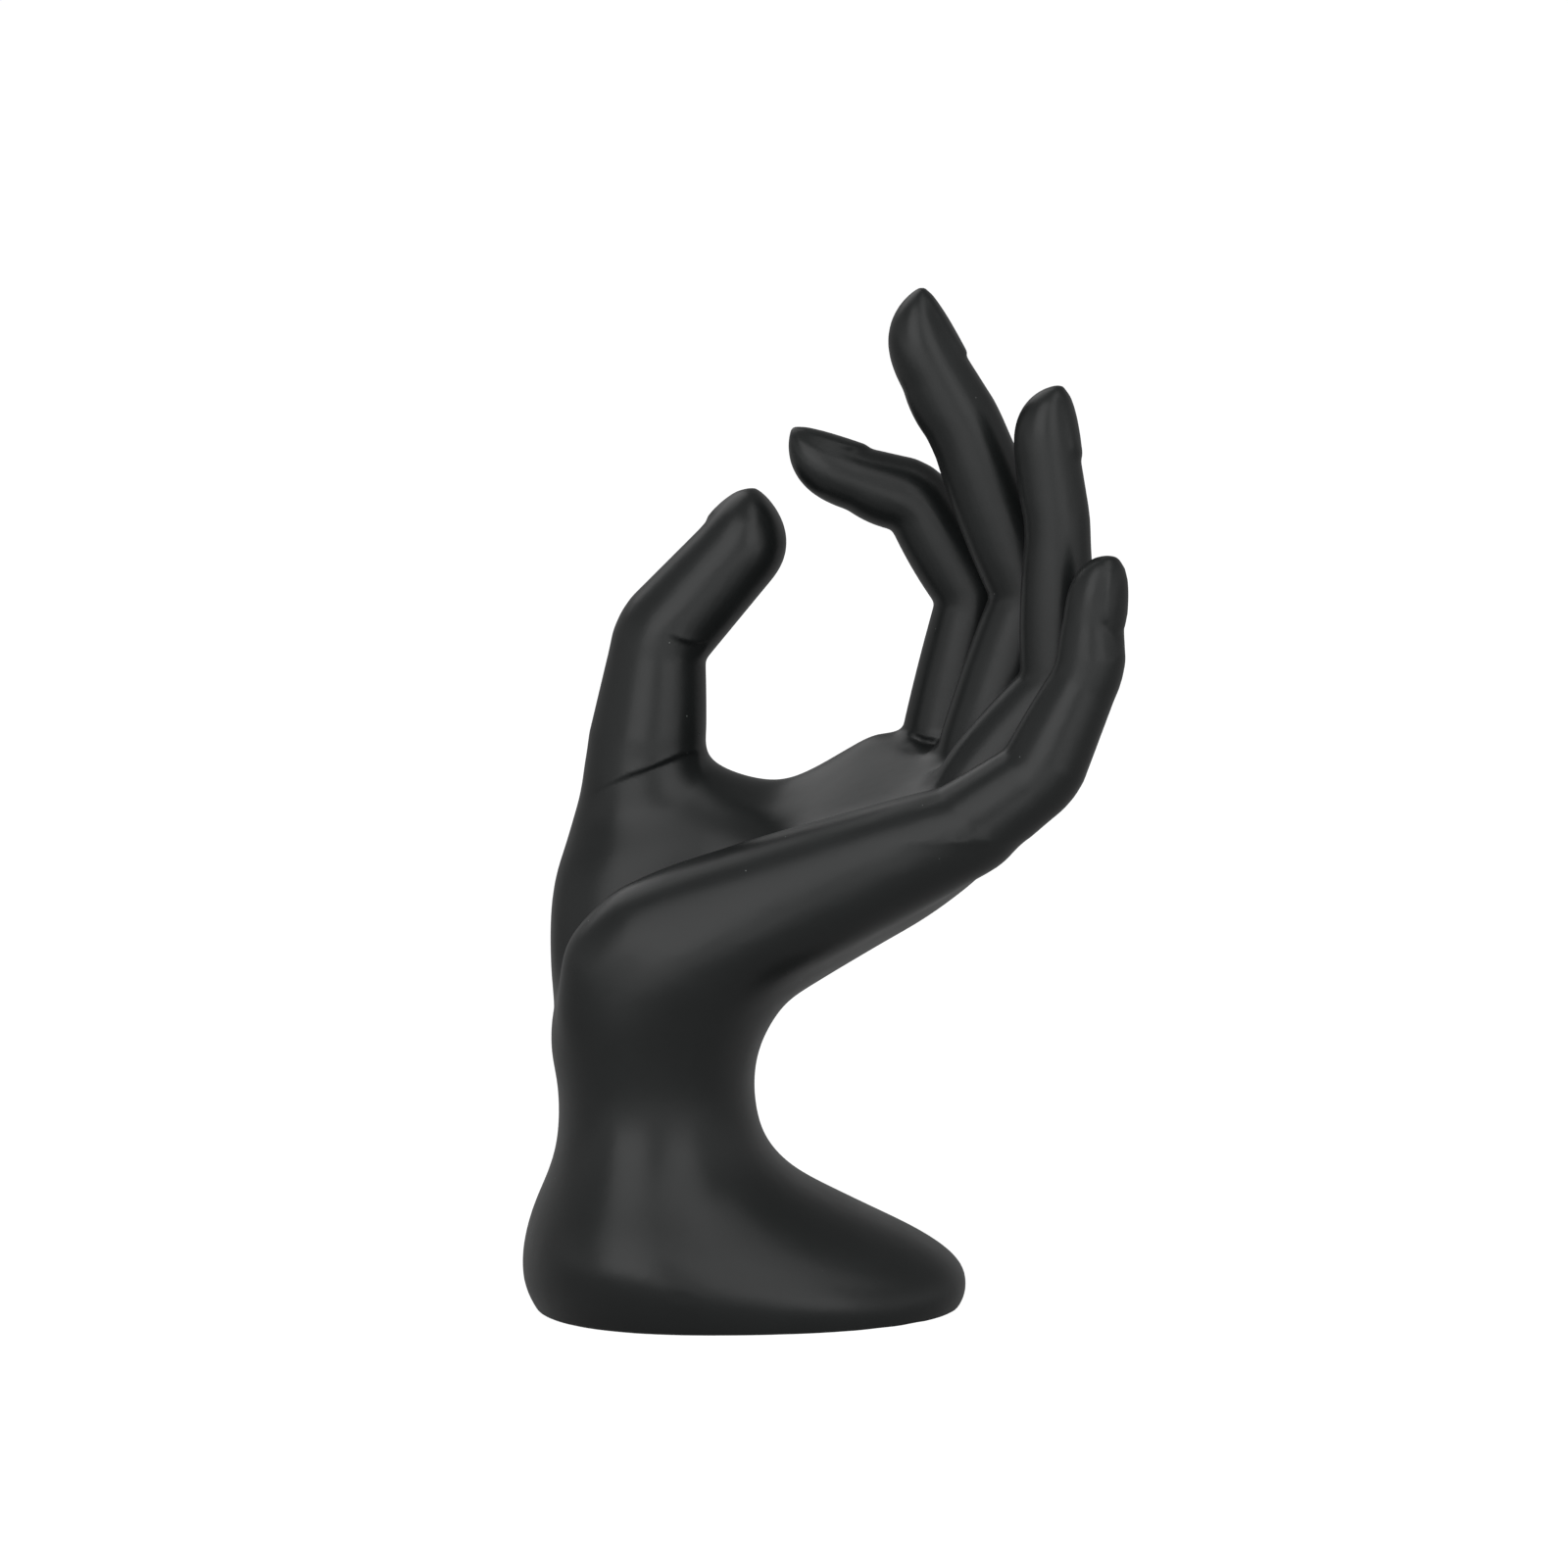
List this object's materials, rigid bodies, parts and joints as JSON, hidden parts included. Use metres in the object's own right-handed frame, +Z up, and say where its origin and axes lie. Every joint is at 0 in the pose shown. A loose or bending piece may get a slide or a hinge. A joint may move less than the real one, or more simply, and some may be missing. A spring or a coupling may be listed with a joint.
{
  "type": "hand jewelry stand",
  "caption": "Free-standing jewellery stand in the shape of a raised hand on a flared forearm, with slender curled fingers for rings and a palm for bracelets.",
  "frame": {"origin": "middle of the flat foot, on the surface it stands on", "axes": "+Z up along the forearm to the fingertips, +X towards the back of the hand, +Y towards the thumb and index finger"},
  "size_m": [0.0938, 0.0592, 0.1587],
  "materials": {
    "black_resin": "satin black cast resin, smooth, with a few fine specks"
  },
  "bodies": {
    "root": {"hand_stand": "black_resin"}
  },
  "joints": []
}
